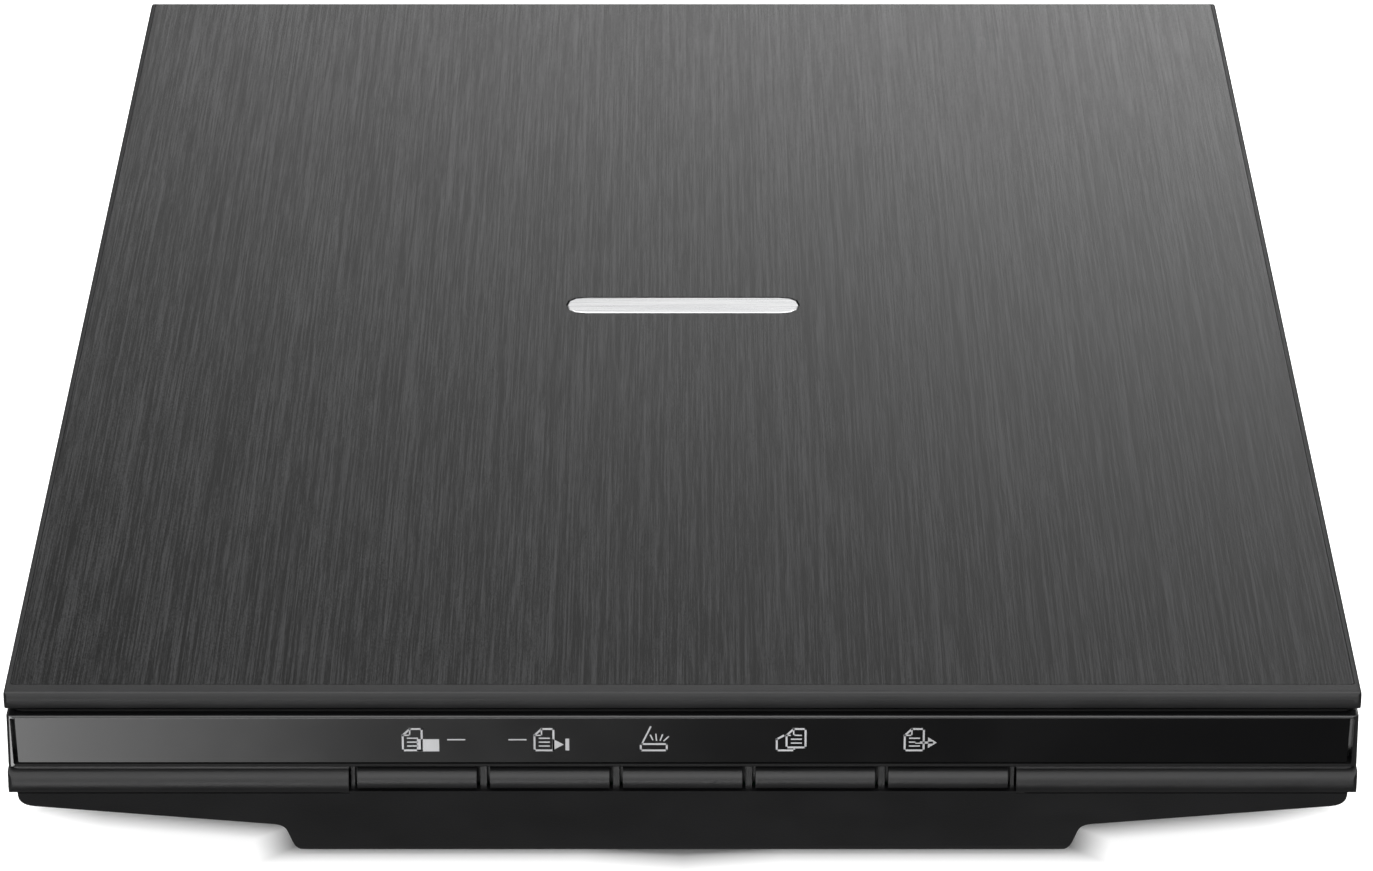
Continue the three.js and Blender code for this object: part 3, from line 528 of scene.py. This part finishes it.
def slab_mesh(name, low, high):
    """A pad between two corners, rounded in plan and drawn in towards its two faces."""
    centre = [(a + b) / 2 for a, b in zip(low, high)]
    half = [(b - a) / 2 for a, b in zip(low, high)]
    ring = rounded_ring(half[0], half[1], FOAM_CORNER)
    vertices = []
    for height, out in FOAM_EDGE:
        inset = FOAM_DRAWN_IN * (1 - out)
        size_x, size_y = (half[0] - inset) / half[0], (half[1] - inset) / half[1]
        z = centre[2] + height * half[2]
        vertices += [(centre[0] + x * size_x, centre[1] + y * size_y, z) for x, y in ring]
    count = len(ring)
    top = len(vertices) - count
    faces = []
    for low_ring in range(0, top, count):
        for i in range(count):
            j = (i + 1) % count
            faces.append((low_ring + i, low_ring + j, low_ring + count + j, low_ring + count + i))
    faces += [tuple(reversed(range(count))), tuple(range(top, top + count))]
    return mesh_object(name, vertices, faces)


def foam_pad():
    """The foam behind the lid's white sheet, its cut edge a little rounded."""
    low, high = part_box("pad_foam")
    pad = slab_mesh("lid_foam", low, high)
    pad.data.materials.append(MATERIALS["foam"])
    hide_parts("pad_foam")
    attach(pad, "lid")


def ribbon_cable():
    """The flat cable from the main board to the carriage, a copy of the CAD cable with the ribbon finish,
    carried by the base.
    """
    cable = NODES["flat_cable"]
    ribbon = link(bpy.data.objects.new("ribbon_cable", cable.data.copy()))
    ribbon.matrix_world = cable.matrix_world.copy()
    ribbon.data.materials.clear()
    ribbon.data.materials.append(MATERIALS["ribbon"])
    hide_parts("flat_cable")
    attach(ribbon, "base")
    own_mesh(ribbon)


# ---------------------------------------------------------------- camera and floor

SENSOR_WIDTH = 36
FOCAL_LENGTH = 171.15
EYE = (0.74 * MM, -1.2598, 0.5732)
LOOK_DOWN = math.radians(24.01)
FARTHEST_SEEN = 50


def camera():
    """The photograph's view: level from side to side, in front of the scanner and looking down on it."""
    data = bpy.data.cameras.new("camera")
    data.lens = FOCAL_LENGTH
    data.sensor_width = SENSOR_WIDTH
    data.clip_end = FARTHEST_SEEN
    eye = link(bpy.data.objects.new("camera", data))
    eye.location = EYE
    eye.rotation_euler = (math.pi / 2 - LOOK_DOWN, 0, 0)
    bpy.context.scene.camera = eye


FLOOR_REACH = 6
# How strongly the floor glows outside its painted shadow.
FLOOR_GLOW = 0.8

# The painted shadow patches, where the floor's glow fades out: half the width, half the depth, and how fast
# the depth tapers to the sides.
TUB_PAINTED_SHADOW = (73 * MM, 163.8 * MM, 0)
WING_PAINTED_SHADOW = (120 * MM, 167 * MM, 0.17)
PAINTED_SHADOW_FADE = 8 * MM


def floor_plane():
    reach = FLOOR_REACH
    corners = [(-reach, -reach, 0), (reach, -reach, 0), (reach, reach, 0), (-reach, reach, 0)]
    return mesh_object("floor", corners, [(0, 1, 2, 3)])


def floor_look():
    """White that glows evenly but for a painted shadow: a soft dark patch such as a low object leaves under
    itself, where the glow fades out.
    """
    look = Look("floor_white_painted_shadow", (0.86, 0.86, 0.86), 0.7, Specular_IOR_Level=0.2)
    look.tint(look.noise(3, detail=2), (0.85, 0.85, 0.85), (0.87, 0.87, 0.87))
    split = look.node("ShaderNodeSeparateXYZ")
    look.wire(look.place, split.inputs["Vector"])
    x, y = (look.maths("ABSOLUTE", side) for side in split.outputs[:2])

    def past_painted_shadow(half_width, half_depth, taper):
        """How far a point of the floor is outside a patch of painted shadow."""
        past_side = look.maths("SUBTRACT", x, half_width)
        past_end = look.maths("SUBTRACT", look.total(y, look.product(x, taper)), half_depth)
        return look.maths("MAXIMUM", past_side, past_end)

    # Inside either patch the glow fades to nothing: a painted shadow under the scanner.
    clear = look.maths("MINIMUM", past_painted_shadow(*TUB_PAINTED_SHADOW), past_painted_shadow(*WING_PAINTED_SHADOW))
    look.wire(look.spread(clear, 0, PAINTED_SHADOW_FADE, 0, FLOOR_GLOW), look.shader.inputs["Emission Strength"])
    look.set("Emission Color", (1, 1, 1, 1))
    return look.material


def floor():
    """The floor is seen by the camera only, so it lights and darkens nothing."""
    plane = floor_plane()
    plane.data.materials.append(floor_look())
    plane.visible_glossy = False
    plane.visible_diffuse = False
    plane.visible_shadow = False


# ---------------------------------------------------------------- light


class Sky(Nodes):
    """The world's light by direction, built up from smooth patches."""

    def __init__(self):
        world = bpy.data.worlds.new("studio")
        bpy.context.scene.world = world
        world.use_nodes = True
        super().__init__(world.node_tree)
        self.backdrop = self.tree.nodes["Background"]
        self.backdrop.inputs["Color"].default_value = (1, 1, 1, 1)
        split = self.node("ShaderNodeSeparateXYZ")
        self.wire(self.node("ShaderNodeTexCoord").outputs["Generated"], split.inputs["Vector"])
        self.x, self.y, self.z = split.outputs

    def ramp(self, value, start, end):
        """0 before start, 1 after end and smooth between them; start may be the higher."""
        return self.spread(value, start, end, interpolation_type="SMOOTHSTEP")

    def bell(self, value, centre, width):
        """1 at centre, and a smooth fall to nothing on both sides."""
        off = self.maths("DIVIDE", self.maths("SUBTRACT", value, centre), width)
        return self.maths("EXPONENT", self.product(off, off, -1.0))

    def outside(self, patch):
        return self.maths("SUBTRACT", 1.0, patch)

    def light(self, strength):
        self.wire(strength, self.backdrop.inputs["Strength"])


# How bright each patch of the sky is.
OPEN_SKY = 0.65
BACK_WALL = 0.1
WALL_GLOW = 2.6
FRONT_BAND = 1.1
CARD = 4.0
CARD_LIMIT = 1.5
ROOM = 0.08
GROUND = 0.1

# Directions are unit vectors. HORIZON is half the blend between the upper and the lower light, in z.
HORIZON = 0.02

# Where each patch begins and where it is complete, along one axis.
WALL_BACK = (0.35, 0.75)
WALL_TOP = (0.75, 0.5)
GLOW_BACK = (0.0, 0.4)
WINDOW_FRONT = (-0.5, -0.7)
WINDOW_FOOT = (-0.66, -0.58)
WINDOW_TOP = (-0.24, -0.32)
BAND_FRONT = (-0.3, -0.6)
BAND_FOOT = (-0.3, 0.1)

# The centre and the width of the patches that fade to both sides.
GLOW_ACROSS = (0.17, 0.24)
GLOW_HEIGHT = (0.275, 0.09)
BAND_HEIGHT = (0.26, 0.4)

# The lit card below the front: the x at which it has its plain brightness, and how fast it fades.
CARD_EDGE = -0.1013
CARD_FADE = 32.0


def upper_light(sky):
    """Soft light all round, but for a dim back wall with a glow at its right."""
    above = sky.ramp(sky.z, -HORIZON, HORIZON)
    wall = sky.product(sky.ramp(sky.y, *WALL_BACK), sky.ramp(sky.z, *WALL_TOP))
    glow = sky.product(
        sky.bell(sky.z, *GLOW_HEIGHT),
        sky.bell(sky.x, *GLOW_ACROSS),
        sky.ramp(sky.y, *GLOW_BACK),
    )
    return [
        sky.product(above, sky.outside(wall), OPEN_SKY),
        sky.product(above, wall, BACK_WALL),
        sky.product(glow, WALL_GLOW),
    ]


def lower_light(sky):
    """What the gloss panel mirrors, a card lit at its left in a dark room, and a dim ground round it."""
    below = sky.ramp(sky.z, HORIZON, -HORIZON)
    window = sky.product(
        sky.ramp(sky.y, *WINDOW_FRONT),
        sky.ramp(sky.z, *WINDOW_FOOT),
        sky.ramp(sky.z, *WINDOW_TOP),
    )
    card = sky.maths("EXPONENT", sky.product(sky.maths("SUBTRACT", sky.x, CARD_EDGE), -CARD_FADE))
    lit = sky.product(sky.maths("MINIMUM", card, CARD_LIMIT), CARD)
    return [
        sky.product(below, window, sky.total(lit, ROOM)),
        sky.product(below, sky.outside(window), GROUND),
    ]


def front_band(sky):
    """A wide band of light low in front, which brings out the front edges."""
    band = sky.product(
        sky.bell(sky.z, *BAND_HEIGHT),
        sky.ramp(sky.z, *BAND_FOOT),
        sky.ramp(sky.y, *BAND_FRONT),
    )
    return sky.product(band, FRONT_BAND)


def area(name, place, size, power):
    """A rectangular lamp that faces the scanner."""
    data = bpy.data.lights.new(name, "AREA")
    data.shape = "RECTANGLE"
    data.size, data.size_y = size
    data.energy = power
    lamp = link(bpy.data.objects.new(name, data))
    lamp.location = place
    lamp.rotation_euler = (Vector((0, 0, 0)) - Vector(place)).to_track_quat("-Z", "Y").to_euler()
    lamp.visible_camera = False


def studio():
    """A soft sky, a large lamp overhead and a weaker one in front."""
    sky = Sky()
    sky.light(sky.total(*upper_light(sky), *lower_light(sky), front_band(sky)))
    area("overhead", place=(0, 0.1, 1.6), size=(2.4, 1.8), power=30)
    area("front", place=(0, -1.7, 1.15), size=(2.4, 0.9), power=7)
    bpy.context.scene.view_settings.view_transform = "Standard"


camera()
floor()
studio()
dress_frame()
panel_marks()
foam_pad()
ribbon_cable()
